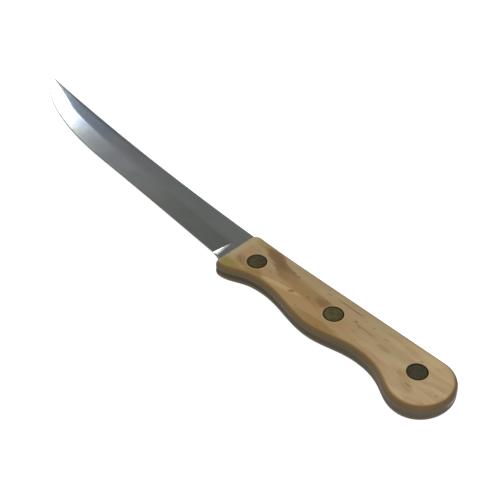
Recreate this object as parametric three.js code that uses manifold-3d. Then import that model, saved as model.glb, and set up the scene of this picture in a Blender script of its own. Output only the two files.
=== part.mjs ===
// Boning knife: a narrow upswept blade whose full tang is riveted between two wooden scales.
//
// Modelling frame, millimetres: X runs from the handle towards the tip, with 0 at the handle's front
// face. Y runs from the spine towards the cutting edge, with 0 on the handle's straight spine. Z is the
// knife's thickness, with 0 on the blade's middle plane. The last lines stand the knife on its right
// scale, with the part's origin at the middle of its footprint.
import * as THREE from "three";
import { mergeVertices } from "three/addons/utils/BufferGeometryUtils.js";
import Module from "manifold-3d";

const wasm = await Module();
wasm.setup();

// ---- driving dimensions -------------------------------------------------------------------------

// Handle, seen from the side: lengths from its front face or from its butt, depths from its spine
const handleLength = 112;
const frontCornerRadius = 3.6;
const guardFromFront = 2.8;
const guardDepth = 23.7;
const noseRadius = 2.8;
const fingerGrooveFromFront = 22.8;
const fingerGrooveDepth = 18.8;
const palmSwellBehindMiddle = 2.3;
const palmSwellDepth = 23.2;
const rearGrooveFromButt = 39.2;
const rearGrooveDepth = 19.7;
const bulbFromButt = 13.2;
const bulbDepth = 27.7;
const buttEndDepth = 13.2;
const spineEndFromButt = 12.2;
const spineRiseFromFront = 32;
const spineRise = 0.55;
const crestShare = 0.36;
const grooveShare = 0.57;
const roundShare = 0.55;

// Handle, through its thickness
const tangThickness = 1.8;
const scaleThickness = 3;
const scaleEdgeRadius = 2.3;

// Blade
const bladeLength = 152.4;
const tipRise = 13.5;
const tipLand = 0.4;
const ricassoDepth = 19.6;
const heelFromHandle = 5.4;
const heelDepth = 17.8;
const edgeWear = 0.2;
const sweepFromTip = 66;
const sweepDepth = 10.7;
const sweepReach = 33;
const tipReach = 14;
const tipEdgeAngle = 54;
const tipSpineThickness = 0.9;
const edgeThickness = 0.2;
const tangOverlap = 1;

// Hollow grind on both faces of the blade
const bevelHeight = 8.8;
const narrowBevelShare = 0.52;
const tipBevelShare = 0.72;
const tipBevelReach = 18;
const hollowShare = 0.4;
const plungeFromHandle = 4;
const plungeRadius = 12;

// Cutler's rivets: a tube with a head in the left scale, a pin with a head in the right scale
const rivetFromFront = 12.9;
const rivetFromButt = 16.5;
const rivetFromSpine = 11.6;
const rivetHeadDiameter = 7.9;
const rivetHeadThickness = 1.3;
const rivetTubeDiameter = 5;
const rivetTubeWall = 0.8;
const headClearance = 0.15;
const rivetClearance = 0.25;

// ---- fineness of the round stretches --------------------------------------------------------------

const curveSteps = 12;
const edgeRoundSteps = 4;
const rivetSides = 28;
const ricassoStations = 4;
const straightStations = 20;
const sweepStations = 18;
const bevelSteps = 4;

// ---- sizes that follow ----------------------------------------------------------------------------

const halfTang = tangThickness / 2;
const halfHandle = halfTang + scaleThickness;
const handleThickness = 2 * halfHandle;
const rivetHoleRadius = rivetTubeDiameter / 2 + rivetClearance;
const rivetPitch = (handleLength - rivetFromFront - rivetFromButt) / 2;
const rivets = ["front", "middle", "rear"].map((place, index) => ({
  place,
  x: -rivetFromFront - index * rivetPitch,
}));

// ---- closed meshes and booleans ---------------------------------------------------------------------

function toSolid(geometry) {
  const bare = geometry.clone();
  bare.deleteAttribute("normal");
  bare.deleteAttribute("uv");
  const merged = mergeVertices(bare, 1e-4);
  return new wasm.Manifold(
    new wasm.Mesh({
      numProp: 3,
      vertProperties: merged.attributes.position.array,
      triVerts: new Uint32Array(merged.index.array),
    }),
  );
}

function toGeometry(solid) {
  const mesh = solid.getMesh();
  const geometry = new THREE.BufferGeometry();
  geometry.setAttribute("position", new THREE.BufferAttribute(mesh.vertProperties, 3));
  geometry.setIndex(new THREE.BufferAttribute(mesh.triVerts, 1));
  geometry.computeVertexNormals();
  return geometry;
}

// A round bar along a rivet's axis, by its middle height and its length.
function barAt(rivet, radius, middle, length) {
  const bar = new THREE.CylinderGeometry(radius, radius, length, rivetSides);
  bar.rotateX(Math.PI / 2);
  bar.translate(rivet.x, rivetFromSpine, middle);
  return toSolid(bar);
}

// ---- handle ------------------------------------------------------------------------------------------

// An S-curve between two crests, level at both of its ends. The shares say how far each end stays flat.
function levelCurveTo(shape, from, to, fromShare = crestShare, toShare = crestShare) {
  const run = to.x - from.x;
  shape.bezierCurveTo(from.x + run * fromShare, from.y, to.x - run * toShare, to.y, to.x, to.y);
}

// The handle's side view, which both scales and the tang share.
function handleOutline() {
  const butt = -handleLength;
  const guard = new THREE.Vector2(-guardFromFront, guardDepth);
  const fingerGroove = new THREE.Vector2(-fingerGrooveFromFront, fingerGrooveDepth);
  const rearGroove = new THREE.Vector2(butt + rearGrooveFromButt, rearGrooveDepth);
  const middle = (fingerGroove.x + rearGroove.x) / 2;
  const palmSwell = new THREE.Vector2(middle - palmSwellBehindMiddle, palmSwellDepth);
  const bulb = new THREE.Vector2(butt + bulbFromButt, bulbDepth);
  const spineEnd = butt + spineEndFromButt;
  const bulbFall = bulbDepth - buttEndDepth;

  const outline = new THREE.Shape();
  outline.moveTo(-frontCornerRadius, -spineRise);
  outline.quadraticCurveTo(-spineRiseFromFront / 2, 0, -spineRiseFromFront, 0);
  outline.lineTo(spineEnd, 0);
  outline.bezierCurveTo(
    spineEnd - spineEndFromButt * roundShare,
    0,
    butt,
    buttEndDepth * (1 - roundShare),
    butt,
    buttEndDepth,
  );
  outline.bezierCurveTo(
    butt,
    buttEndDepth + bulbFall * roundShare,
    bulb.x - bulbFromButt * roundShare,
    bulb.y,
    bulb.x,
    bulb.y,
  );
  levelCurveTo(outline, bulb, rearGroove, crestShare, grooveShare);
  levelCurveTo(outline, rearGroove, palmSwell);
  levelCurveTo(outline, palmSwell, fingerGroove);
  levelCurveTo(outline, fingerGroove, guard, grooveShare, crestShare);
  outline.bezierCurveTo(
    guard.x + guardFromFront * roundShare,
    guard.y,
    0,
    guard.y - noseRadius * (1 - roundShare),
    0,
    guard.y - noseRadius,
  );
  const cornerDepth = frontCornerRadius - spineRise;
  outline.lineTo(0, cornerDepth);
  outline.absarc(-frontCornerRadius, cornerDepth, frontCornerRadius, 0, -Math.PI / 2, true);
  return outline;
}

// The whole handle as one block with rounded long edges, which is cut into the two scales.
function handleBlock() {
  const block = new THREE.ExtrudeGeometry(handleOutline(), {
    depth: 2 * (halfHandle - scaleEdgeRadius),
    curveSegments: curveSteps,
    bevelEnabled: true,
    bevelSegments: edgeRoundSteps,
    bevelThickness: scaleEdgeRadius,
    bevelSize: scaleEdgeRadius,
    bevelOffset: -scaleEdgeRadius,
  });
  block.translate(0, 0, -(halfHandle - scaleEdgeRadius));
  return toSolid(block);
}

// The wood on one side of the tang, drilled for the rivets. side is 1 for left and -1 for right.
function scaleSolid(side) {
  const width = 2 * handleLength;
  const half = new THREE.BoxGeometry(width, width, handleThickness);
  half.translate(0, 0, side * (halfTang + handleThickness / 2));
  let scale = handleBlock().intersect(toSolid(half));
  for (const rivet of rivets) {
    const seatRadius = rivetHeadDiameter / 2 + headClearance;
    const seatMiddle = side * (halfHandle - rivetHeadThickness + halfHandle);
    const seat = barAt(rivet, seatRadius, seatMiddle, handleThickness);
    const hole = barAt(rivet, rivetHoleRadius, 0, 2 * handleThickness);
    scale = scale.subtract(seat).subtract(hole);
  }
  return scale;
}

// ---- blade --------------------------------------------------------------------------------------------

// The spine's depth at a distance from the handle: a parabola that carries on the handle's own rise.
function spineAt(x) {
  if (x <= 0) return -spineRise;
  const startSlope = (2 * spineRise) / spineRiseFromFront;
  const bend = (tipRise - spineRise - startSlope * bladeLength) / bladeLength ** 2;
  return -spineRise - startSlope * x - bend * x ** 2;
}

// The blade's lower edge as a chain of curves, each with its number of stations and how strongly they
// gather towards its rear end.
function lowerEdge() {
  const place = (x, depth) => new THREE.Vector2(x, depth);
  const insideTang = place(-frontCornerRadius - tangOverlap, ricassoDepth - tangOverlap);
  const handle = place(0, ricassoDepth);
  const heel = place(heelFromHandle, heelDepth);
  const sweepStart = place(bladeLength - sweepFromTip, sweepDepth);
  const tip = place(bladeLength, tipLand - tipRise);
  const worn = heel.clone().lerp(sweepStart, 0.5).sub(place(0, 2 * edgeWear));
  const onward = sweepStart.clone().sub(worn).setLength(sweepReach);
  const lean = THREE.MathUtils.degToRad(tipEdgeAngle);
  const backward = place(-Math.cos(lean), Math.sin(lean)).multiplyScalar(tipReach);
  return [
    { curve: new THREE.LineCurve(insideTang, handle), steps: 1, gather: 1 },
    { curve: new THREE.LineCurve(handle, heel), steps: ricassoStations, gather: 1 },
    {
      curve: new THREE.QuadraticBezierCurve(heel, worn, sweepStart),
      steps: straightStations,
      gather: 2,
    },
    {
      curve: new THREE.CubicBezierCurve(
        sweepStart,
        sweepStart.clone().add(onward),
        tip.clone().add(backward),
        tip,
      ),
      steps: sweepStations,
      gather: 1,
    },
  ];
}

// Places along the blade, from inside the tang to the tip, with the lower edge's depth and slope there.
function bladeStations() {
  const stations = [];
  const add = (curve, share) => {
    const point = curve.getPoint(share);
    const tangent = curve.getTangent(share);
    stations.push({ x: point.x, depth: point.y, slope: tangent.y / tangent.x });
  };
  const stretches = lowerEdge();
  for (const { curve, steps, gather } of stretches) {
    for (let step = 0; step < steps; step += 1) add(curve, (step / steps) ** gather);
  }
  add(stretches.at(-1).curve, 1);
  return stations;
}

// The bevel's width across the blade. It narrows with the blade, and sweeps up to the spine at the tip.
function bevelWidthAt(x, bladeWidth) {
  const nearTip = THREE.MathUtils.smoothstep(x, bladeLength - tipBevelReach, bladeLength);
  const share = THREE.MathUtils.lerp(narrowBevelShare, tipBevelShare, nearTip);
  return Math.min(bevelHeight, share * bladeWidth);
}

// Half of the blade's thickness at a place: the flat, the hollow bevel or the plunge at its rear end.
function halfThicknessAt(x, fromEdge, bevelWidth) {
  const along = THREE.MathUtils.clamp(x / bladeLength, 0, 1);
  const flat = THREE.MathUtils.lerp(halfTang, tipSpineThickness / 2, along ** 2);
  const share = Math.min(fromEdge / bevelWidth, 1);
  const hollow = share * (1 - hollowShare * (1 - share));
  const bevel = THREE.MathUtils.lerp(edgeThickness / 2, flat, hollow);
  const run = Math.max(x - plungeFromHandle, 0);
  const plunge = flat - run ** 2 / (2 * plungeRadius);
  return Math.max(bevel, plunge);
}

// One station's points from the spine down to the edge, on the face that side names.
function bladeSection(station, side) {
  const squareOn = Math.cos(Math.atan(station.slope));
  const spine = spineAt(station.x);
  const bevelWidth = bevelWidthAt(station.x, (station.depth - spine) * squareOn);
  const grindLine = station.depth - bevelWidth / squareOn;
  const depths = [spine];
  for (let step = 0; step <= bevelSteps; step += 1) {
    depths.push(THREE.MathUtils.lerp(grindLine, station.depth, step / bevelSteps));
  }
  return depths.map((depth) => {
    const fromEdge = (station.depth - depth) * squareOn;
    return new THREE.Vector3(station.x, depth, side * halfThicknessAt(station.x, fromEdge, bevelWidth));
  });
}

// A closed skin over rings of points that run once round each section.
function loftGeometry(rings) {
  const count = rings[0].length;
  const positions = rings.flat().flatMap((point) => point.toArray());
  const faces = [];
  const quad = (a, b, c, d) => faces.push(a, b, c, a, c, d);
  for (let ring = 0; ring < rings.length - 1; ring += 1) {
    const here = ring * count;
    const next = here + count;
    for (let index = 0; index < count; index += 1) {
      const after = (index + 1) % count;
      quad(here + index, next + index, next + after, here + after);
    }
  }
  const last = (rings.length - 1) * count;
  for (let index = 0; index < count / 2 - 1; index += 1) {
    const across = count - 1 - index;
    quad(index, index + 1, across - 1, across);
    quad(last + index, last + across, last + across - 1, last + index + 1);
  }
  const geometry = new THREE.BufferGeometry();
  geometry.setAttribute("position", new THREE.Float32BufferAttribute(positions, 3));
  geometry.setIndex(faces);
  return geometry;
}

// The ground blade with its full tang, drilled for the rivets.
function bladeSolid() {
  const rings = bladeStations().map((station) => [
    ...bladeSection(station, 1),
    ...bladeSection(station, -1).reverse(),
  ]);
  const tang = new THREE.ExtrudeGeometry(handleOutline(), {
    depth: tangThickness,
    curveSegments: curveSteps,
    bevelEnabled: false,
  });
  tang.translate(0, 0, -halfTang);
  let blade = toSolid(loftGeometry(rings)).add(toSolid(tang));
  for (const rivet of rivets) {
    blade = blade.subtract(barAt(rivet, rivetHoleRadius, 0, handleThickness));
  }
  return blade;
}

// ---- rivets ---------------------------------------------------------------------------------------------

// Turns a profile of radius and height pairs about the rivet's axis.
function turned(profile) {
  const points = profile.map(([radius, height]) => new THREE.Vector2(radius, height));
  const geometry = new THREE.LatheGeometry(points, rivetSides);
  geometry.rotateX(Math.PI / 2);
  return geometry;
}

// The tubular half: a flat head on the left scale and a blind tube that points to the right scale.
function rivetFemale() {
  const head = rivetHeadDiameter / 2;
  const tube = rivetTubeDiameter / 2;
  const bore = tube - rivetTubeWall;
  const headUnder = halfHandle - rivetHeadThickness;
  const tubeEnd = rivetHeadThickness + rivetClearance - halfHandle;
  return turned([
    [0, headUnder],
    [bore, headUnder],
    [bore, tubeEnd],
    [tube, tubeEnd],
    [tube, headUnder],
    [head, headUnder],
    [head, halfHandle],
    [0, halfHandle],
  ]);
}

// The solid half: a flat head on the right scale and a pin that fills the tube.
function rivetMale() {
  const head = rivetHeadDiameter / 2;
  const pin = rivetTubeDiameter / 2 - rivetTubeWall - rivetClearance;
  const headUnder = rivetHeadThickness - halfHandle;
  const pinEnd = halfHandle - rivetHeadThickness - rivetClearance;
  return turned([
    [0, -halfHandle],
    [head, -halfHandle],
    [head, headUnder],
    [pin, headUnder],
    [pin, pinEnd],
    [0, pinEnd],
  ]);
}

// ---- the knife ------------------------------------------------------------------------------------------

const steel = { color: 0x8a8c8a, roughness: 0.35, metalness: 1 };
const wood = { color: 0xad936f, roughness: 0.7, metalness: 0 };
const agedBrass = { color: 0x4a4226, roughness: 0.55, metalness: 0.8 };

function named(name, geometry, finish) {
  const mesh = new THREE.Mesh(geometry, new THREE.MeshStandardMaterial(finish));
  mesh.name = name;
  return mesh;
}

const knife = new THREE.Group();
knife.add(named("blade", toGeometry(bladeSolid()), steel));
knife.add(named("left_scale", toGeometry(scaleSolid(1)), wood));
knife.add(named("right_scale", toGeometry(scaleSolid(-1)), wood));
for (const rivet of rivets) {
  const female = named(`${rivet.place}_rivet_female`, rivetFemale(), agedBrass);
  const male = named(`${rivet.place}_rivet_male`, rivetMale(), agedBrass);
  for (const half of [female, male]) {
    half.position.set(rivet.x, rivetFromSpine, 0);
    knife.add(half);
  }
}

// Rest on the right scale, with the origin at the middle of the footprint.
const footprint = new THREE.Box3().setFromObject(knife);
const middle = footprint.getCenter(new THREE.Vector3());
knife.position.set(-middle.x, -middle.y, -footprint.min.z);

export default knife;
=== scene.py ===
# Boning knife: the fine surfaces, materials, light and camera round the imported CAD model.
#
# Everything is in metres in the part's frame: +X from the handle towards the tip, +Y from the spine
# towards the cutting edge, +Z up from the right scale to the left scale. Every piece follows the CAD node
# that it stands for: its outline is read from that node and then made finer.
import math

import bmesh
import bpy
import numpy as np
from mathutils import Matrix, Vector, noise
from mathutils.geometry import delaunay_2d_cdt


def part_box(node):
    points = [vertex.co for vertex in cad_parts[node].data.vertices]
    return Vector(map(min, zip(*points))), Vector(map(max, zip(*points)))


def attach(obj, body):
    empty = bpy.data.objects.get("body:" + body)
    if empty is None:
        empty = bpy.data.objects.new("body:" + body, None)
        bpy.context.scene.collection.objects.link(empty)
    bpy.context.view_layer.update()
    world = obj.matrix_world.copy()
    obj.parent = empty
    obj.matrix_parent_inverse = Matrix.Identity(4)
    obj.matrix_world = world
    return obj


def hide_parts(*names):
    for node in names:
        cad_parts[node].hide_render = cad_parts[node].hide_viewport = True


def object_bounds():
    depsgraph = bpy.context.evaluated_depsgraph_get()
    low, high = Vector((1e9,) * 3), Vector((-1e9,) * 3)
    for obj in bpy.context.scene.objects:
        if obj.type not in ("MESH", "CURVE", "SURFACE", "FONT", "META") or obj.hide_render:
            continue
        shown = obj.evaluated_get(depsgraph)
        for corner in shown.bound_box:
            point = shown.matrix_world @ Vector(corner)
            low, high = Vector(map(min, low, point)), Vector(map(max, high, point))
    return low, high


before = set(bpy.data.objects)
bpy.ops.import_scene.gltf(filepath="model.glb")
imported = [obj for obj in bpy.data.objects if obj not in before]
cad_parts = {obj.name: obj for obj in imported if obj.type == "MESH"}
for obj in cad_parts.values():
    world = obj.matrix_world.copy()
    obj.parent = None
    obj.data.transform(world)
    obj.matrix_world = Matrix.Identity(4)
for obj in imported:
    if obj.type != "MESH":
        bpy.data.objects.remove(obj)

MM = 0.001
cad_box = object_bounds()

# ---- places and sizes read from the frame ------------------------------------------------------------

blade_low, blade_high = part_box("blade")
left_low, left_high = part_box("left_scale")
right_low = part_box("right_scale")[0]
middle_z = (blade_low.z + blade_high.z) / 2
half_tang = (blade_high.z - blade_low.z) / 2
front_x = left_high.x
tip_x = blade_high.x
blade_length = tip_x - front_x
places = ("front", "middle", "rear")
rivet_centres = {}
for place in places:
    low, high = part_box(place + "_rivet_female")
    rivet_centres[place] = (low + high) / 2
    head_radius = (high.x - low.x) / 2

# ---- fine sizes that the CAD model leaves plain ------------------------------------------------------

EDGE_ROUND = 2.3 * MM          # long edges of the scales
SEAM_ROUND = 0.25 * MM         # the scales' edges along the tang
TANG_SUNK = 0.1 * MM           # the tang's edge lies this far under the wood
HEAD_THICKNESS = 1.3 * MM
TUBE_RADIUS = 2.5 * MM
TUBE_WALL = 0.8 * MM
FIT = 0.25 * MM                # rivet to wood, and pin to tube
SEAT_GAP = 0.15 * MM           # rivet head to its seat
RIM_ROUND = 0.06 * MM          # the wood's worn rim round each seat
HEAD_BEVEL = 0.15 * MM
HEAD_DOME = 0.05 * MM
PIN_CHAMFER = 0.3 * MM
FURROW_DEPTH = 0.02 * MM       # the mean depth of the wood's worn furrows
SHORT_FURROWS = (45, 420)      # furrows per metre along the grain and across it
SHORT_FURROW_SWING = 0.018 * MM
LONG_FURROWS = (18, 130)
LONG_FURROW_SWING = 0.03 * MM

TIP_HALF = 0.45 * MM           # half of the spine's thickness at the tip
EDGE_HALF = 0.05 * MM          # half of the worn cutting edge
BEVEL_HEIGHT = 8.8 * MM
NARROW_BEVEL_SHARE = 0.52      # of the blade's width, where the blade is narrow
TIP_BEVEL_SHARE = 0.78         # and at the tip, where the grind line sweeps up to the spine
TIP_BEVEL_REACH = 27 * MM
KEEN_HEIGHT = 0.36 * MM        # the worn honed bevel along the cutting edge
KEEN_HALF = 0.24 * MM          # half of the thickness where the honed bevel starts
HOLLOW = 0.05                  # how hollow the bevel is ground: 0 is flat
SPINE_ROUND = 0.3 * MM
PLUNGE_START = 4.4 * MM        # along the blade from the handle, at the grind line
PLUNGE_LEAN = 0.12             # how far it leans back towards the handle, on its way to the edge
PLUNGE_SLOPE = 0.17
PLUNGE_RADIUS = 14 * MM
PLUNGE_BLEND = 0.04 * MM
CORNER_CUT = 3.5 * MM          # the tang's spine stops this far behind the blade's start

# ---- how finely things are divided -------------------------------------------------------------------

SAME_POINT = 0.001 * MM
SAME_LEVEL = 0.002 * MM
WELD = 0.002 * MM
HANDLE_DIVISION = 0.5 * MM
FACE_DIVISION = 0.7 * MM
SEAT_SIDES = 64
RIVET_SIDES = 96
SEAM_STEPS = 3
EDGE_STEPS = 10
DOME_STEPS = 6
FLAT_ROWS = 5
BEVEL_ROWS = 15
KEEN_ROWS = 4
BLADE_STEP = 0.8 * MM
TIP_STEP, TIP_ZONE = 0.4 * MM, 25 * MM
PLUNGE_STEP, PLUNGE_ZONE = 0.2 * MM, 14 * MM
BLADE_OVERLAP = 0.3 * MM       # the blade's skin starts this far inside the handle


# ---- meshes ------------------------------------------------------------------------------------------

def mesh_object(name, points, faces, crease=35):
    """A welded, smooth-shaded mesh, faces pointing out. Edges past the crease angle stay sharp."""
    mesh = bpy.data.meshes.new(name)
    mesh.from_pydata([tuple(p) for p in points], [], faces)
    piece = bpy.data.objects.new(name, mesh)
    bpy.context.scene.collection.objects.link(piece)
    work = bmesh.new()
    work.from_mesh(mesh)
    bmesh.ops.remove_doubles(work, verts=work.verts, dist=WELD)
    bmesh.ops.dissolve_degenerate(work, edges=work.edges, dist=SAME_POINT)
    bmesh.ops.recalc_face_normals(work, faces=work.faces)
    work.to_mesh(mesh)
    work.free()
    mesh.shade_smooth()
    mesh.set_sharp_from_angle(angle=math.radians(crease))
    return piece


def ring_faces(count, here, after, closed=True):
    """Quads between two rings of equally many points, given where each ring starts."""
    last = count if closed else count - 1
    return [(here + i, here + (i + 1) % count, after + (i + 1) % count, after + i) for i in range(last)]


def node_loop(name, height):
    """The outer outline of a CAD node's flat face at one height, as an ordered closed loop of (x, y)."""
    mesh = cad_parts[name].data
    label = {}
    corner = []
    for vertex in mesh.vertices:
        key = tuple(round(c / SAME_POINT) for c in vertex.co)
        corner.append(label.setdefault(key, (vertex.index, vertex.co.x, vertex.co.y, vertex.co.z)))
    sides = {}
    for face in mesh.polygons:
        corners = [corner[i] for i in face.vertices]
        if any(abs(c[3] - height) > SAME_LEVEL for c in corners):
            continue
        for a, b in zip(corners, corners[1:] + corners[:1]):
            if (b[0], a[0]) in sides:
                del sides[(b[0], a[0])]
            else:
                sides[(a[0], b[0])] = (a, b)
    following = {a[0]: b for a, b in sides.values()}
    loops = []
    while following:
        start = next(iter(following))
        loop = []
        at = start
        while at in following:
            point = following.pop(at)
            loop.append(point[1:3])
            at = point[0]
        loops.append(np.array(loop))
    return max(loops, key=lambda loop: np.ptp(loop[:, 0]))


def rounded_path(points, division, closed):
    """A finer path through the same points: straight runs are divided, and bends are curved."""
    if closed:
        points = np.vstack([points, points[:1]])
    dense = [points[0]]
    for a, b in zip(points, points[1:]):
        pieces = max(1, round(np.linalg.norm(b - a) / (3 * division)))
        dense.extend(a + (b - a) * k / pieces for k in range(1, pieces + 1))
    dense = np.array(dense)
    if closed:
        dense = dense[:-1]
        before, after = np.roll(dense, 1, 0), np.roll(dense, -1, 0)
        beyond = np.roll(dense, -2, 0)
        starts = range(len(dense))
    else:
        before = np.vstack([dense[:1], dense[:-1]])
        after = np.vstack([dense[1:], dense[-1:]])
        beyond = np.vstack([dense[2:], dense[-1:], dense[-1:]])
        starts = range(len(dense) - 1)
    fine = []
    for i in starts:
        p0, p1, p2, p3 = before[i], dense[i], after[i], beyond[i]
        chord = np.linalg.norm(p2 - p1)
        back = max(np.linalg.norm(p1 - p0), 1e-9)
        front = max(np.linalg.norm(p3 - p2), 1e-9)
        leave = chord * ((p2 - p1) / chord * back + (p1 - p0) / back * chord) / (chord + back)
        reach = chord * ((p2 - p1) / chord * front + (p3 - p2) / front * chord) / (chord + front)
        steps = max(1, round(chord / division))
        for k in range(steps):
            t = k / steps
            fine.append(
                (2 * t**3 - 3 * t**2 + 1) * p1
                + (t**3 - 2 * t**2 + t) * leave
                + (3 * t**2 - 2 * t**3) * p2
                + (t**3 - t**2) * reach
            )
    if not closed:
        fine.append(dense[-1])
    return np.array(fine)


def anticlockwise(loop):
    x, y = loop.T
    turned = np.sum(x * np.roll(y, -1) - y * np.roll(x, -1)) > 0
    return loop if turned else loop[::-1]


def inward(loop):
    """Unit vectors that point into an anticlockwise loop."""
    along = np.roll(loop, -1, 0) - np.roll(loop, 1, 0)
    along /= np.linalg.norm(along, axis=1)[:, None]
    return np.column_stack([-along[:, 1], along[:, 0]])


def inside(loop, points):
    """True for each point that lies inside a closed loop."""
    x, y = points[:, 0][:, None], points[:, 1][:, None]
    x1, y1 = loop.T
    x2, y2 = np.roll(loop, -1, 0).T
    spans = (y1 > y) != (y2 > y)
    with np.errstate(divide="ignore", invalid="ignore"):
        crossing = x1 + (y - y1) * (x2 - x1) / (y2 - y1)
    return np.sum(spans & (x < crossing), axis=1) % 2 == 1


def circle(centre, radius):
    turns = np.arange(SEAT_SIDES) * 2 * math.pi / SEAT_SIDES
    return np.column_stack([centre.x + radius * np.cos(turns), centre.y + radius * np.sin(turns)])


def fill(outer, holes, division=None):
    """Triangles between an outer loop and round holes. Returns the points added and the faces."""
    loops = [outer] + holes
    points = [p for loop in loops for p in loop]
    edges = []
    start = 0
    for loop in loops:
        edges += [(start + i, start + (i + 1) % len(loop)) for i in range(len(loop))]
        start += len(loop)
    if division:
        low, high = outer.min(0), outer.max(0)
        rows = np.arange(low[1], high[1], division * math.sqrt(0.75))
        columns = np.arange(low[0], high[0], division)
        grid = np.array([(x + (j % 2) * division / 2, y) for j, y in enumerate(rows) for x in columns])
        grid = grid[inside(outer, grid)]
        border = np.array(points)
        near = np.array([np.min(np.sum((border - p) ** 2, axis=1)) for p in grid])
        grid = grid[near > (0.6 * division) ** 2]
        for hole in holes:
            grid = grid[~inside(hole, grid)]
        points += list(grid)
    made = delaunay_2d_cdt([Vector(p) for p in points], edges, [], 0, 1e-9, True)
    placed = np.array([tuple(p) for p in made[0]])
    faces = np.array(made[2])
    middles = placed[faces].mean(1)
    keep = inside(outer, middles)
    for hole in holes:
        keep &= ~inside(hole, middles)
    return placed, [tuple(int(i) for i in face) for face in faces[keep]]


# ---- handle ------------------------------------------------------------------------------------------

handle_outline = anticlockwise(rounded_path(node_loop("left_scale", left_low.z), HANDLE_DIVISION, True))


def grain_relief(x, y, side):
    """How far the worn face lies under its plane: long shallow furrows that follow the grain."""
    short = noise.noise(Vector((x * SHORT_FURROWS[0], y * SHORT_FURROWS[1], side * 3.7)))
    long = noise.noise(Vector((x * LONG_FURROWS[0], y * LONG_FURROWS[1], side * 9.1)))
    return FURROW_DEPTH + SHORT_FURROW_SWING * short + LONG_FURROW_SWING * long


def wooden_scale(name, node, side):
    """One handle scale: rounded long edges, a worn seam edge, stepped rivet holes and a worn face."""
    low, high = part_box(node)
    face_z = high.z if side > 0 else low.z
    seam_z = low.z if side > 0 else high.z
    into = inward(handle_outline)
    count = len(handle_outline)
    points = []
    faces = []

    def ring(depth, height):
        start = len(points)
        loop = handle_outline + into * depth
        points.extend((x, y, height) for x, y in loop)
        return start

    profile = []
    for k in range(SEAM_STEPS + 1):
        turn = math.pi / 2 * k / SEAM_STEPS
        rise = SEAM_ROUND * (1 - math.cos(turn))
        profile.append((SEAM_ROUND * (1 - math.sin(turn)), seam_z + side * rise))
    for k in range(EDGE_STEPS + 1):
        turn = math.pi / 2 * k / EDGE_STEPS
        drop = EDGE_ROUND * (1 - math.sin(turn))
        profile.append((EDGE_ROUND * (1 - math.cos(turn)), face_z - side * drop))
    starts = [ring(depth, height) for depth, height in profile]
    for here, after in zip(starts, starts[1:]):
        faces += ring_faces(count, here, after)

    centres = list(rivet_centres.values())
    seat = head_radius + SEAT_GAP
    bore = TUBE_RADIUS + FIT
    seat_z = face_z - side * HEAD_THICKNESS
    hole_profile = []
    for turn in (0, 0.5, 1.0, math.pi / 2):
        drop = RIM_ROUND * (1 - math.cos(turn))
        hole_profile.append((seat + RIM_ROUND * (1 - math.sin(turn)), face_z - side * drop))
    hole_profile += [(seat, seat_z), (bore, seat_z), (bore, seam_z)]
    for centre in centres:
        begins = []
        for radius, height in hole_profile:
            begins.append(len(points))
            points.extend((x, y, height) for x, y in circle(centre, radius))
        for here, after in zip(begins, begins[1:]):
            faces += ring_faces(SEAT_SIDES, here, after)

    def cap(depth, hole_radius, height, division, worn):
        outer = handle_outline + into * depth
        placed, triangles = fill(outer, [circle(c, hole_radius) for c in centres], division)
        start = len(points)
        fixed = count + len(centres) * SEAT_SIDES
        for index, (x, y) in enumerate(placed):
            sunk = grain_relief(x, y, side) if worn and index >= fixed else 0
            points.append((x, y, height - side * sunk))
        faces.extend(tuple(start + i for i in triangle) for triangle in triangles)

    cap(EDGE_ROUND, seat + RIM_ROUND, face_z, FACE_DIVISION, True)
    cap(SEAM_ROUND, bore, seam_z, None, False)
    return mesh_object(name, points, faces)


# ---- blade -------------------------------------------------------------------------------------------

def blade_lines():
    """The spine and the lower edge in front of the handle: fine (x, y) paths through the CAD stations."""
    spans = {}
    same_station = 0.01 * MM
    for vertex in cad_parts["blade"].data.vertices:
        x, y, _ = vertex.co
        if x > front_x + same_station:
            span = spans.setdefault(round(x / same_station), [x, y, y])
            span[1] = min(span[1], y)
            span[2] = max(span[2], y)
    stations = np.array([spans[key] for key in sorted(spans)])
    first, second = stations[0], stations[1]
    at_front = first + (second - first) * (front_x - first[0]) / (second[0] - first[0])
    stations = np.vstack([at_front, stations])
    spine = rounded_path(stations[:, [0, 1]], HANDLE_DIVISION, False)
    edge = rounded_path(stations[:, [0, 2]], HANDLE_DIVISION, False)
    return spine, edge


def soft_max(a, b, blend):
    """The larger of two values, with the corner between them eased over the blend."""
    share = np.clip(0.5 + (a - b) / (2 * blend), 0, 1)
    return b + (a - b) * share + blend * share * (1 - share)


def half_thickness(along, from_edge, bevel_height, run):
    """Half of the blade's thickness: the flat, the two bevels, or the plunge at their rear end."""
    flat = half_tang + (TIP_HALF - half_tang) * np.clip(along / blade_length, 0, 1) ** 2
    keen_height = min(KEEN_HEIGHT, bevel_height / 3)
    share = np.clip((from_edge - keen_height) / (bevel_height - keen_height), 0, 1)
    bevel = KEEN_HALF + (flat - KEEN_HALF) * share * (1 - HOLLOW * (1 - share))
    keen = EDGE_HALF + (KEEN_HALF - EDGE_HALF) * from_edge / keen_height
    bevel = np.minimum(bevel, keen)
    run = np.maximum(run, 0)
    plunge = flat - PLUNGE_SLOPE * run - run**2 / (2 * PLUNGE_RADIUS)
    return np.minimum(soft_max(bevel, plunge, PLUNGE_BLEND), flat)


def bevel_height_at(along, width):
    """The bevel's height across the blade. It narrows with the blade, then sweeps up at the tip."""
    near_tip = min(max(1 - (blade_length - along) / TIP_BEVEL_REACH, 0), 1)
    near_tip = 1 - (1 - near_tip) ** 2
    share = NARROW_BEVEL_SHARE + (TIP_BEVEL_SHARE - NARROW_BEVEL_SHARE) * near_tip
    return min(BEVEL_HEIGHT, share * width)


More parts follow.
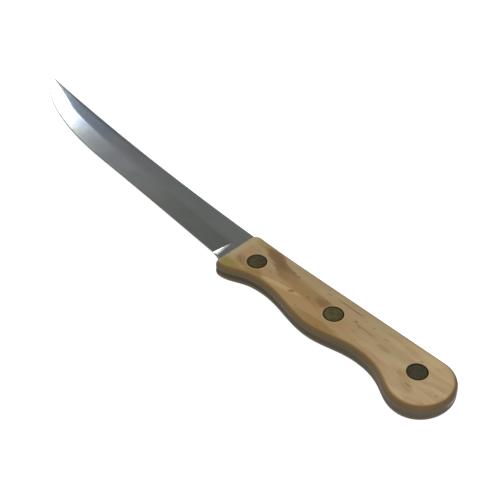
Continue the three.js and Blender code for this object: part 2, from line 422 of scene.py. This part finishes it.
def blade_rings():
    """Rings of points round the blade at stations from the handle's face to the tip."""
    spine, edge = blade_lines()
    stations = [-BLADE_OVERLAP, 0.0]
    while stations[-1] < blade_length - BLADE_OVERLAP:
        at = stations[-1]
        if at < PLUNGE_ZONE:
            stations.append(at + PLUNGE_STEP)
        elif at > blade_length - TIP_ZONE:
            stations.append(at + TIP_STEP)
        else:
            stations.append(at + BLADE_STEP)
    stations.append(blade_length)
    rings = []
    for at in stations:
        x = front_x + at
        top = np.interp(x, *spine.T)
        bottom = np.interp(x, *edge.T)
        step = HANDLE_DIVISION
        slope = np.gradient(np.interp([x - step, x, x + step], *edge.T), step)[1] if at > step else 0
        square = 1 / math.hypot(1, slope)
        bevel_height = bevel_height_at(at, (bottom - top) * square)
        grind = bottom - bevel_height / square
        keen = bottom - min(KEEN_HEIGHT, bevel_height / 3) / square
        ease = SPINE_ROUND * min(max(at / MM, 0), 1) * min((grind - top) / (4 * SPINE_ROUND), 1)
        eased = [(top + ease * (1 - math.cos(t)), ease * (1 - math.sin(t))) for t in (0, 0.5, 1.05)]
        rows = eased + [(y, 0) for y in np.linspace(top + ease, grind, FLAT_ROWS)]
        rows += [(y, 0) for y in np.linspace(grind, keen, BEVEL_ROWS)[1:]]
        rows += [(y, 0) for y in np.linspace(keen, bottom, KEEN_ROWS)[1:]]
        lean = PLUNGE_LEAN * max(0, 1 - abs(at - PLUNGE_START) / (3 * PLUNGE_START))
        upper = []
        for y, sunk in rows:
            shift = lean * (grind - y) if y > grind else 0
            half = half_thickness(at, (bottom - y) * square, bevel_height, at - PLUNGE_START)
            upper.append((x + shift, y, half - sunk))
        lower = [(x, y, middle_z - half) for x, y, half in upper[::-1]]
        rings.append([(x, y, middle_z + half) for x, y, half in upper] + lower)
    return rings


def ground_blade():
    """The blade and its full tang as one skin. The tang's front face opens where the blade begins."""
    rings = blade_rings()
    count = len(rings[0])
    points = [point for ring in rings for point in ring]
    faces = []
    for index in range(len(rings) - 1):
        faces += ring_faces(count, index * count, (index + 1) * count)
    tip = (len(rings) - 1) * count
    for i in range(count // 2 - 1):
        faces.append((tip + i, tip + i + 1, tip + count - 2 - i, tip + count - 1 - i))

    upper = np.array(rings[0][: count // 2])
    start_x, spine_y, ricasso_y = upper[0][0], upper[0][1], upper[-1][1]
    outline = handle_outline + inward(handle_outline) * TANG_SUNK
    kept = (outline[:, 1] > ricasso_y) | (outline[:, 0] < start_x - CORNER_CUT)
    first = next(i for i in range(len(kept)) if kept[i] and not kept[i - 1])
    order = [(first + k) % len(kept) for k in range(len(kept))]
    tang = np.array([outline[i] for i in order if kept[i]])
    joint = upper[:, :2] if tang[-1][1] < (spine_y + ricasso_y) / 2 else upper[::-1, :2]
    loop = np.vstack([tang, joint])
    bores = [circle(centre, TUBE_RADIUS + FIT) for centre in rivet_centres.values()]
    placed, triangles = fill(loop, bores)
    for height in (middle_z + half_tang, middle_z - half_tang):
        start = len(points)
        points.extend((x, y, height) for x, y in placed)
        faces.extend(tuple(start + i for i in triangle) for triangle in triangles)
    walls = [(np.vstack([joint[-1:], tang, joint[:1]]), False)]
    walls += [(bore, True) for bore in bores]
    for line, closed in walls:
        here = len(points)
        size = len(line)
        points.extend((x, y, middle_z + half_tang) for x, y in line)
        points.extend((x, y, middle_z - half_tang) for x, y in line)
        faces += ring_faces(size, here, here + size, closed)
    return mesh_object("ground_blade_and_tang", points, faces, crease=20)


# ---- rivets ------------------------------------------------------------------------------------------

def turned(name, centre, profile):
    """A piece turned about a rivet's axis from (radius, height) points. It starts and ends on the axis."""
    points = []
    faces = []
    turns = np.arange(RIVET_SIDES) * 2 * math.pi / RIVET_SIDES
    for radius, height in profile:
        for turn in turns:
            x = centre.x + radius * math.cos(turn)
            y = centre.y + radius * math.sin(turn)
            points.append((x, y, height))
    for k in range(len(profile) - 1):
        faces += ring_faces(RIVET_SIDES, k * RIVET_SIDES, (k + 1) * RIVET_SIDES)
    return mesh_object(name, points, faces, crease=25)


def head_profile(face_z, side):
    """A rivet head's face: almost flat, a little domed by wear, with a bevelled rim."""
    profile = []
    flat = head_radius - HEAD_BEVEL
    for k in range(DOME_STEPS + 1):
        radius = flat * k / DOME_STEPS
        sunk = HEAD_DOME * (radius / flat) ** 2
        profile.append((radius, face_z - side * sunk))
    profile.append((head_radius - 0.3 * HEAD_BEVEL, face_z - side * (HEAD_DOME + 0.4 * HEAD_BEVEL)))
    profile.append((head_radius, face_z - side * (HEAD_DOME + HEAD_BEVEL)))
    profile.append((head_radius, face_z - side * HEAD_THICKNESS))
    return profile


def rivet_tube(place, centre):
    low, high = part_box(place + "_rivet_female")
    seat_z = high.z - HEAD_THICKNESS
    bore = TUBE_RADIUS - TUBE_WALL
    shank = [(TUBE_RADIUS, seat_z), (TUBE_RADIUS, low.z), (bore, low.z), (bore, seat_z), (0, seat_z)]
    return turned(place + "_rivet_tube", centre, head_profile(high.z, 1) + shank)


def rivet_pin(place, centre):
    low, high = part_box(place + "_rivet_male")
    seat_z = low.z + HEAD_THICKNESS
    pin = TUBE_RADIUS - TUBE_WALL - FIT
    end = [(pin, high.z - PIN_CHAMFER), (pin - PIN_CHAMFER, high.z), (0, high.z)]
    shank = [(pin, seat_z)] + end
    return turned(place + "_rivet_pin", centre, head_profile(low.z, -1) + shank)


# ---- material nodes ----------------------------------------------------------------------------------

def tone(red, green, blue):
    """A colour given as 0-255 sRGB display values, as the linear colour that a shader socket holds."""
    linear = []
    for value in (red / 255, green / 255, blue / 255):
        linear.append(value / 12.92 if value < 0.04045 else ((value + 0.055) / 1.055) ** 2.4)
    return (*linear, 1)


class Nodes:
    """A node tree under construction. Inputs are plain values or the output sockets of other nodes."""

    def __init__(self, owner):
        owner.use_nodes = True
        self.tree = owner.node_tree
        self.tree.nodes.clear()

    def add(self, kind, inputs=None, **settings):
        node = self.tree.nodes.new(kind)
        for key, value in settings.items():
            setattr(node, key, value)
        for key, value in (inputs or {}).items():
            if isinstance(value, bpy.types.NodeSocket):
                self.tree.links.new(value, node.inputs[key])
            else:
                node.inputs[key].default_value = value
        return node

    def math(self, operation, a, b=0.0):
        return self.add("ShaderNodeMath", {0: a, 1: b}, operation=operation).outputs[0]

    def times(self, a, b):
        return self.math("MULTIPLY", a, b)

    def vector_math(self, operation, a, b=(0, 0, 0)):
        """The node of a vector operation. Its first output is the vector and its second the number."""
        return self.add("ShaderNodeVectorMath", {0: a, 1: b}, operation=operation)

    def ramp(self, value, low, high, to_low=0.0, to_high=1.0):
        """A smooth step of a value from one bound to the other."""
        values = {0: value, 1: low, 2: high, 3: to_low, 4: to_high}
        return self.add("ShaderNodeMapRange", values, interpolation_type="SMOOTHSTEP").outputs[0]


class Finish(Nodes):
    """A procedural material that starts from the place on the piece and the way its surface faces."""

    def __init__(self, name):
        self.material = bpy.data.materials.new(name)
        super().__init__(self.material)
        self.place = self.add("ShaderNodeTexCoord").outputs["Object"]
        normal = self.add("ShaderNodeNewGeometry").outputs["Normal"]
        self.facing = dict(zip("xyz", self.add("ShaderNodeSeparateXYZ", {0: normal}).outputs))
        self.at = dict(zip("xyz", self.add("ShaderNodeSeparateXYZ", {0: self.place}).outputs))

    def noise(self, scale, detail=2.0, roughness=0.5, shift=(0, 0, 0), warp=0.0):
        """Noise from 0 to 1. The scale is in features per metre along X, Y and Z."""
        values = {"Vector": self.place, "Scale": scale, "Location": shift}
        vector = self.add("ShaderNodeMapping", values).outputs[0]
        values = {"Vector": vector, "Scale": 1.0, "Detail": detail, "Roughness": roughness}
        return self.add("ShaderNodeTexNoise", {**values, "Distortion": warp}).outputs[0]

    def mix(self, share, under, over):
        node = self.add("ShaderNodeMix", {0: share, 6: under, 7: over}, data_type="RGBA")
        return node.outputs[2]

    def blotch(self, centre, length, width, turn, ragged=0.55):
        """1 in a soft-edged oval patch of the XY plane and 0 outside it. The turn is in degrees."""
        moved = self.vector_math("SUBTRACT", self.place, centre).outputs[0]
        values = {0: moved, 3: -math.radians(turn)}
        level = self.add("ShaderNodeVectorRotate", values, rotation_type="Z_AXIS").outputs[0]
        oval = self.vector_math("MULTIPLY", level, (2 / length, 2 / width, 0)).outputs[0]
        reach = self.vector_math("LENGTH", oval).outputs[1]
        frayed = self.noise(FRAY_SCALE, 4, 0.6)
        fray = self.times(self.math("SUBTRACT", frayed, 0.5), 2 * ragged)
        return self.ramp(self.math("ADD", reach, fray), 1.1, 0.55)

    def from_axes(self, centres):
        """The distance in the XY plane to the nearest of some upright axes."""
        nearest = None
        for centre in centres:
            moved = self.vector_math("SUBTRACT", self.place, centre).outputs[0]
            flat = self.vector_math("MULTIPLY", moved, (1, 1, 0)).outputs[0]
            reach = self.vector_math("LENGTH", flat).outputs[1]
            nearest = reach if nearest is None else self.math("MINIMUM", nearest, reach)
        return nearest

    def done(self, colour, roughness, bump, depth, **settings):
        """Ends the material in one Principled shader. Bump heights are 0 to 1 and depth is in metres."""
        values = {"Strength": 1.0, "Distance": depth, "Height": bump}
        relief = self.add("ShaderNodeBump", values).outputs[0]
        values = {"Base Color": colour, "Roughness": roughness, "Normal": relief, **settings}
        shader = self.add("ShaderNodeBsdfPrincipled", values).outputs[0]
        self.tree.links.new(shader, self.add("ShaderNodeOutputMaterial").inputs[0])
        return self.material


# ---- wood --------------------------------------------------------------------------------------------

TAN = tone(151, 128, 93)
PALE_TAN = tone(164, 142, 105)
DEEP_TAN = tone(142, 114, 80)
USED_TAN = tone(135, 114, 80)
PINK_TAN = tone(146, 116, 88)
OLIVE_TAN = tone(144, 127, 92)
RED_BROWN = tone(101, 73, 39)
UMBER = tone(126, 98, 56)
OCHRE = tone(122, 94, 46)
HONEY = tone(140, 111, 69)
KHAKI = tone(118, 100, 42)
DARK_KHAKI = tone(105, 99, 74)
PORE_BROWN = tone(84, 64, 40)
# The next three colours are painted shade on the handle's sides and rounded edges; the grey one is painted
# shadow along the bottom.
SHADED_EDGE_BROWN = tone(94, 71, 39)
SHADED_SIDE_BROWN = tone(77, 66, 48)
SHADOWED_SIDE_GREY = tone(67, 60, 46)
GRIME = tone(22, 16, 8)

# Features per metre along the knife, across it and through its thickness.
STREAK_SCALE = (28, 520, 520)
BAND_SCALE = (14, 150, 150)
MOTTLE_SCALE = (80, 190, 190)
HUE_SCALE = (55, 150, 150)
PORE_SCALE = (170, 2600, 2600)
FLECK_SCALE = (260, 1300, 1300)
SIDE_SCALE = (40, 60, 300)
FRAY_SCALE = (110, 560, 560)


def wood(name, blotches, shift):
    """Worn light hardwood with its grain along X: streaks, pores, stains and grime, with painted shade on
    the sides, the rounded edges and a band at the front end.
    """
    f = Finish(name)
    streaks = f.noise(STREAK_SCALE, 3, 0.55, shift, 0.3)
    bands = f.noise(BAND_SCALE, 2, 0.5, shift, 0.2)
    mottle = f.noise(MOTTLE_SCALE, 3, 0.55, shift)
    hue = f.noise(HUE_SCALE, 2, 0.5, (shift[0] + 5, shift[1], 0))
    pores = f.noise(PORE_SCALE, 2, 0.6, shift)
    colour = f.mix(f.ramp(bands, 0.36, 0.66), TAN, PALE_TAN)
    grip = f.ramp(f.at["x"], front_x - 100 * MM, front_x - 45 * MM, to_high=0.9)
    colour = f.mix(grip, colour, USED_TAN)
    colour = f.mix(f.ramp(mottle, 0.5, 0.78, to_high=0.55), colour, DEEP_TAN)
    colour = f.mix(f.ramp(hue, 0.52, 0.68, to_high=0.75), colour, PINK_TAN)
    colour = f.mix(f.ramp(hue, 0.48, 0.32, to_high=0.75), colour, OLIVE_TAN)
    colour = f.mix(f.ramp(streaks, 0.55, 0.75, to_high=0.45), colour, DEEP_TAN)

    for centre, length, width, turn, strength, stain in blotches:
        colour = f.mix(f.times(f.blotch(centre, length, width, turn), strength), colour, stain)

    # Painted shading: an olive band across the top near the front end stands in for the light on a
    # bevelled front end; the scales here are only rounded.
    painted_bevel_band = f.ramp(f.at["x"], front_x - 6.5 * MM, front_x - 2.5 * MM, to_high=0.9)
    above_nose = f.ramp(f.at["y"], left_low.y + 19 * MM, left_low.y + 15 * MM)
    colour = f.mix(f.times(painted_bevel_band, above_nose), colour, OLIVE_TAN)
    colour = f.mix(f.ramp(pores, 0.6, 0.8, to_high=0.4), colour, PORE_BROWN)
    flecks = f.noise(FLECK_SCALE, 1, 0.5, shift)
    colour = f.mix(f.ramp(flecks, 0.7, 0.77, to_high=0.8), colour, PORE_BROWN)

    upright = f.math("ABSOLUTE", f.facing["z"])
    # Painted shade: a deeper ochre on the upper rounding of the edges, strongest on the belly side, where
    # the top begins to turn away into the shaded side.
    belly = f.ramp(f.facing["y"], 0.02, 0.3, 0.25, 0.8)
    colour = f.mix(f.times(f.ramp(upright, 0.995, 0.94), belly), colour, OCHRE)
    forward = f.ramp(f.facing["x"], 0.05, 0.5)
    colour = f.mix(forward, colour, DARK_KHAKI)
    # Painted shade: the sides and the lower part of the rounded edges are painted dark brown, turning to a
    # painted grey shadow towards the bottom.
    uneven = f.ramp(f.noise(SIDE_SCALE, 3, 0.5, shift), 0.35, 0.65, -1.2 * MM, 1.2 * MM)
    height = f.math("ADD", f.at["z"], uneven)
    out_of_shadow = f.ramp(height, right_low.z + 2 * MM, left_high.z - 1.5 * MM)
    shaded_upper_side = f.mix(f.ramp(upright, 0.3, 0.7), SHADED_SIDE_BROWN, SHADED_EDGE_BROWN)
    painted_side_shade = f.mix(out_of_shadow, SHADOWED_SIDE_GREY, shaded_upper_side)
    colour = f.mix(f.ramp(upright, 0.95, 0.81, to_high=0.95), colour, painted_side_shade)

    reach = f.from_axes(rivet_centres.values())
    halo = f.times(f.ramp(reach, head_radius + 1.3 * MM, head_radius + 0.6 * MM), 0.3)
    colour = f.mix(halo, colour, TAN)
    gap = f.ramp(reach, head_radius + 0.35 * MM, head_radius + 0.12 * MM, to_high=0.95)
    colour = f.mix(gap, colour, GRIME)

    relief = f.math("ADD", f.times(streaks, 0.4), f.times(pores, 0.35))
    relief = f.math("SUBTRACT", relief, f.ramp(flecks, 0.68, 0.77, to_high=0.5))
    rough = f.ramp(mottle, 0.3, 0.7, 0.5, 0.66)
    return f.done(colour, rough, relief, 0.08 * MM, **{"Specular IOR Level": 0.25})


# ---- steel and brass ---------------------------------------------------------------------------------

STEEL = tone(150, 151, 149)
BLUE_PATINA = tone(130, 137, 147)
GREEN_PATINA = tone(130, 140, 135)
PURPLE_PATINA = tone(137, 134, 140)
TIP_PATINA = tone(102, 115, 140)
DARK_STEEL = tone(85, 80, 72)
TANG_FRONT = tone(74, 66, 49)
TANG_REAR = tone(90, 83, 73)
BRASS = {
    "front": (tone(74, 66, 40), tone(57, 50, 30)),
    "middle": (tone(93, 85, 56), tone(74, 65, 40)),
    "rear": (tone(77, 73, 58), tone(62, 58, 46)),
}
BRASS_RIM = tone(44, 34, 18)

BLUE_SCALE = (22, 60, 60)
GREEN_SCALE = (26, 70, 60)
PURPLE_SCALE = (24, 60, 60)
SPOT_SCALE = (420, 520, 520)
SHEEN_SCALE = (60, 120, 120)
CROSS_LINE_SCALE = (3800, 140, 140)
LONG_LINE_SCALE = (120, 4200, 4200)
SCRATCH_SCALE = (180, 5200, 5200)


def steel(name):
    """Satin ground steel: fine lines, faint patina tints, a dull worn edge that is also painted darker as
    shade, painted shade on the blade's wall by the handle, and a tarnished tang edge.
    """
    f = Finish(name)
    blue = f.noise(BLUE_SCALE, 2)
    colour = f.mix(f.ramp(blue, 0.45, 0.7, to_high=0.4), STEEL, BLUE_PATINA)
    green = f.noise(GREEN_SCALE, 2, 0.5, (3, 1, 0))
    colour = f.mix(f.ramp(green, 0.52, 0.72, to_high=0.6), colour, GREEN_PATINA)
    purple = f.noise(PURPLE_SCALE, 2, 0.5, (7, 4, 0))
    colour = f.mix(f.ramp(purple, 0.54, 0.72, to_high=0.6), colour, PURPLE_PATINA)
    near_tip = Vector((tip_x - 38 * MM, blade_low.y + 8.4 * MM, 0))
    tinted = f.times(f.blotch(near_tip, 50 * MM, 15 * MM, -7, 0.3), 0.55)
    colour = f.mix(tinted, colour, TIP_PATINA)
    spots = f.noise(SPOT_SCALE, 3, 0.6, (1, 2, 0))
    colour = f.mix(f.ramp(spots, 0.66, 0.8, to_high=0.5), colour, DARK_STEEL)

    # Painted shade: the blade's wall that faces the belly side is painted dark brown close to the handle,
    # where it meets the wood.
    by_handle = f.ramp(f.at["x"], front_x + 8 * MM, front_x + 5 * MM)
    shaded_wall_by_handle = f.times(f.ramp(f.facing["y"], 0.5, 0.8), by_handle)
    colour = f.mix(shaded_wall_by_handle, colour, TANG_FRONT)
    # Wear and painted shade: the honed edge and other steep facets on the belly side are rougher from wear
    # and are also painted darker as shade.
    tilted = f.ramp(f.math("ABSOLUTE", f.facing["z"]), 0.94, 0.88)
    worn = f.times(tilted, f.ramp(f.facing["y"], 0.0, 0.1))
    colour = f.mix(f.times(worn, 0.8), colour, DARK_STEEL)
    in_handle = f.ramp(f.at["x"], front_x + 0.6 * MM, front_x - 0.2 * MM)
    along_tang = f.ramp(f.at["x"], left_low.x, front_x - 20 * MM)
    colour = f.mix(in_handle, colour, f.mix(along_tang, TANG_REAR, TANG_FRONT))

    rough = f.ramp(f.noise(SHEEN_SCALE, 3), 0.3, 0.7, 0.09, 0.12)
    rough = f.math("ADD", rough, f.times(in_handle, 0.25))
    rough = f.math("ADD", rough, f.times(worn, 0.25))
    cross_lines = f.noise(CROSS_LINE_SCALE, 2, 0.6)
    long_lines = f.noise(LONG_LINE_SCALE, 2, 0.6, (2, 5, 0))
    relief = f.math("ADD", f.times(cross_lines, 0.7), f.times(long_lines, 0.3))
    return f.done(colour, rough, relief, 0.004 * MM, Metallic=1.0)


def brass(name, bright, dark):
    """Old brass ground flush with the wood: dark olive, scratched, and blackened at its rim."""
    f = Finish(name)
    reach = f.from_axes(rivet_centres.values())
    cloud = f.noise(SPOT_SCALE, 3, 0.6)
    colour = f.mix(f.ramp(cloud, 0.35, 0.65), bright, dark)
    scratches = f.noise(SCRATCH_SCALE, 2, 0.6)
    colour = f.mix(f.ramp(scratches, 0.6, 0.78, to_high=0.5), colour, bright)
    rim = f.ramp(reach, head_radius - 0.7 * MM, head_radius - 0.1 * MM, to_high=0.9)
    colour = f.mix(rim, colour, BRASS_RIM)
    rough = f.ramp(cloud, 0.3, 0.7, 0.42, 0.58)
    return f.done(colour, rough, scratches, 0.006 * MM, Metallic=1.0)


def at_handle(from_front, from_spine):
    """A place on the handle, given in millimetres behind its front face and away from its spine."""
    return Vector((front_x - from_front * MM, left_low.y + from_spine * MM, 0))


# Stains on each scale's face: centre, length, width, turn in degrees, strength and colour.
LEFT_BLOTCHES = [
    (at_handle(35, 16.5), 74 * MM, 15 * MM, 2, 0.8, HONEY),
    (at_handle(8, 13), 12 * MM, 17 * MM, 0, 0.35, UMBER),
    (at_handle(9, 2.5), 16 * MM, 5 * MM, 0, 0.5, KHAKI),
    (at_handle(18, 5.2), 17 * MM, 6.5 * MM, -16, 0.95, RED_BROWN),
    (at_handle(25, 8.2), 19 * MM, 7.5 * MM, -16, 0.8, RED_BROWN),
    (at_handle(39, 10.8), 32 * MM, 7.5 * MM, -4, 0.85, UMBER),
    (at_handle(48, 10.5), 9 * MM, 5 * MM, 0, 0.65, RED_BROWN),
    (at_handle(7.5, 15.5), 10 * MM, 5 * MM, -18, 0.45, RED_BROWN),
    (at_handle(6, 15), 6 * MM, 0.8 * MM, -35, 0.7, RED_BROWN),
    (at_handle(9, 17), 5 * MM, 0.7 * MM, -15, 0.6, RED_BROWN),
    (at_handle(16, 17.2), 13 * MM, 6 * MM, -6, 0.9, OCHRE),
    (at_handle(29, 15.5), 22 * MM, 2.6 * MM, 8, 0.55, PALE_TAN),
    (at_handle(25, 2), 12 * MM, 2.4 * MM, 0, 0.4, PALE_TAN),
    (at_handle(6, 20.8), 19 * MM, 6.5 * MM, -12, 1.0, KHAKI),
    (at_handle(51, 20.5), 28 * MM, 4.4 * MM, 4, 0.75, OCHRE),
    (at_handle(34, 14.6), 3 * MM, 1.6 * MM, 30, 0.8, RED_BROWN),
    (at_handle(56, 5), 17 * MM, 0.9 * MM, -2, 0.5, PORE_BROWN),
    (at_handle(46, 5.2), 3 * MM, 0.8 * MM, 8, 0.5, PORE_BROWN),
    (at_handle(68, 10), 14 * MM, 1 * MM, -3, 0.35, PORE_BROWN),
    (at_handle(79, 12), 8 * MM, 3 * MM, 0, 0.45, UMBER),
    (at_handle(77, 5), 12 * MM, 0.9 * MM, 2, 0.35, UMBER),
    (at_handle(95, 19), 14 * MM, 5 * MM, -30, 0.35, UMBER),
]
for dent in ((22, 9.6), (28, 6.2), (31, 6.6), (10, 14.6), (41, 12.5), (63, 9)):
    LEFT_BLOTCHES.append((at_handle(*dent), 1.8 * MM, 0.9 * MM, 15, 0.6, PORE_BROWN))
RIGHT_BLOTCHES = [
    (at_handle(70, 9), 36 * MM, 6 * MM, 5, 0.6, RED_BROWN),
    (at_handle(24, 12), 22 * MM, 5 * MM, -6, 0.5, RED_BROWN),
    (at_handle(98, 18), 16 * MM, 8 * MM, 12, 0.4, DEEP_TAN),
]


def dress(piece, node, material):
    piece.data.materials.append(material)
    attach(piece, "root")
    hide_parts(node)


dress(ground_blade(), "blade", steel("satin_steel"))
left = wooden_scale("left_wooden_scale", "left_scale", 1)
dress(left, "left_scale", wood("left_wood", LEFT_BLOTCHES, (0, 0, 0)))
right = wooden_scale("right_wooden_scale", "right_scale", -1)
dress(right, "right_scale", wood("right_wood", RIGHT_BLOTCHES, (3.3, 1.7, 0)))
for place, centre in rivet_centres.items():
    aged_brass = brass(place + "_aged_brass", *BRASS[place])
    dress(rivet_tube(place, centre), place + "_rivet_female", aged_brass)
    dress(rivet_pin(place, centre), place + "_rivet_male", aged_brass)


# ---- floor, light and camera -------------------------------------------------------------------------

FLOOR_HALF = 8.0               # metres
FLOOR_GLOW = 0.85              # against a white floor's 1


def floor():
    """A pale lit table: its own glow keeps the shadows under the knife light."""
    corners = []
    for x, y in ((-1, -1), (1, -1), (1, 1), (-1, 1)):
        corners.append((x * FLOOR_HALF, y * FLOOR_HALF, cad_box[0].z))
    plane = mesh_object("pale_floor", corners, [(0, 1, 2, 3)])
    f = Finish("pale_floor")
    cloud = f.noise((3, 3, 3), 2)
    colour = f.mix(cloud, tone(148, 148, 148), tone(151, 151, 150))
    glow = {"Emission Color": (1, 1, 1, 1), "Emission Strength": FLOOR_GLOW}
    rough = f.ramp(cloud, 0, 1, 0.85, 0.9)
    plane.data.materials.append(f.done(colour, rough, cloud, 0.001 * MM, **glow))


def toward(azimuth, elevation):
    """A unit vector from its angle round Z, from +X, and its height above the horizon, in degrees."""
    around, up = math.radians(azimuth), math.radians(elevation)
    return Vector((math.cos(around) * math.cos(up), math.sin(around) * math.cos(up), math.sin(up)))


def soft_sun(name, azimuth, elevation, spread, strength, colour):
    """A very large, distant studio light. The spread is its width in degrees."""
    lamp = bpy.data.lights.new(name, "SUN")
    lamp.energy = strength
    lamp.color = colour
    lamp.angle = math.radians(spread)
    holder = bpy.data.objects.new(name, lamp)
    holder.rotation_euler = toward(azimuth, elevation).to_track_quat("Z", "Y").to_euler()
    bpy.context.scene.collection.objects.link(holder)


def soft_box(name, aim, azimuth, elevation, distance, width, height, strength, colour):
    """A rectangular light that faces the aim. Its strength is its brightness against a white floor's 1."""
    lamp = bpy.data.lights.new(name, "AREA")
    lamp.shape = "RECTANGLE"
    lamp.size, lamp.size_y = width, height
    lamp.energy = strength * math.pi * width * height
    lamp.color = colour
    direction = toward(azimuth, elevation)
    holder = bpy.data.objects.new(name, lamp)
    holder.location = aim + direction * distance
    holder.rotation_euler = direction.to_track_quat("Z", "Y").to_euler()
    bpy.context.scene.collection.objects.link(holder)


def surroundings(horizon, overhead, window, spill):
    """The room's glow: brighter near the horizon and round the window light, and darker overhead."""
    world = bpy.data.worlds.new("room_glow")
    bpy.context.scene.world = world
    room = Nodes(world)
    direction = room.add("ShaderNodeTexCoord").outputs["Generated"]
    height = room.add("ShaderNodeSeparateXYZ", {0: direction}).outputs[2]
    room_light = room.ramp(height, 0.64, 0.82, horizon, overhead)
    nearness = room.vector_math("DOT_PRODUCT", direction, window).outputs[1]
    spill_edge = math.cos(math.radians(22))
    spill_core = math.cos(math.radians(9))
    spill_light = room.ramp(nearness, spill_edge, spill_core, 0, spill)
    plain = room.add("ShaderNodeBackground", {0: (0.98, 1.0, 0.98, 1), 1: room_light}).outputs[0]
    bluish = room.add("ShaderNodeBackground", {0: (0.92, 0.97, 1.0, 1), 1: spill_light}).outputs[0]
    total = room.add("ShaderNodeAddShader", {0: plain, 1: bluish}).outputs[0]
    room.add("ShaderNodeOutputWorld", {0: total})


def camera(aim, azimuth, elevation, distance, roll, lens):
    """A level camera that looks at the aim, then turned by the roll about its own axis, in degrees."""
    data = bpy.data.cameras.new("camera")
    data.lens = lens
    data.sensor_width = 36
    data.clip_start, data.clip_end = 0.01, 50
    holder = bpy.data.objects.new("camera", data)
    back = toward(azimuth, elevation)
    holder.rotation_mode = "QUATERNION"
    turn = Matrix.Rotation(math.radians(roll), 3, "Z").to_quaternion()
    holder.rotation_quaternion = back.to_track_quat("Z", "Y") @ turn
    holder.location = aim + back * distance
    bpy.context.scene.collection.objects.link(holder)
    bpy.context.scene.camera = holder


top_centre = Vector(((cad_box[0].x + cad_box[1].x) / 2, (cad_box[0].y + cad_box[1].y) / 2, cad_box[1].z))
tip = Vector((tip_x, blade_low.y, middle_z))
window_azimuth, window_elevation = -17.5, 26.4
floor()
soft_sun("high_light", azimuth=135, elevation=62, spread=116, strength=2.32, colour=(1.0, 0.98, 0.95))
soft_box(
    "window_light",
    tip,
    window_azimuth,
    window_elevation,
    distance=4,
    width=1.8,
    height=1.7,
    strength=10.7,
    colour=(0.9, 0.98, 1.0),
)
surroundings(horizon=0.414, overhead=0.2, window=toward(window_azimuth, window_elevation), spill=0.77)
aim = top_centre + Vector((-26.3, 1.73, 0)) * MM
camera(aim, azimuth=134.7, elevation=42.3, distance=0.4856, roll=0.72, lens=86.4)
bpy.context.scene.view_settings.view_transform = "Standard"
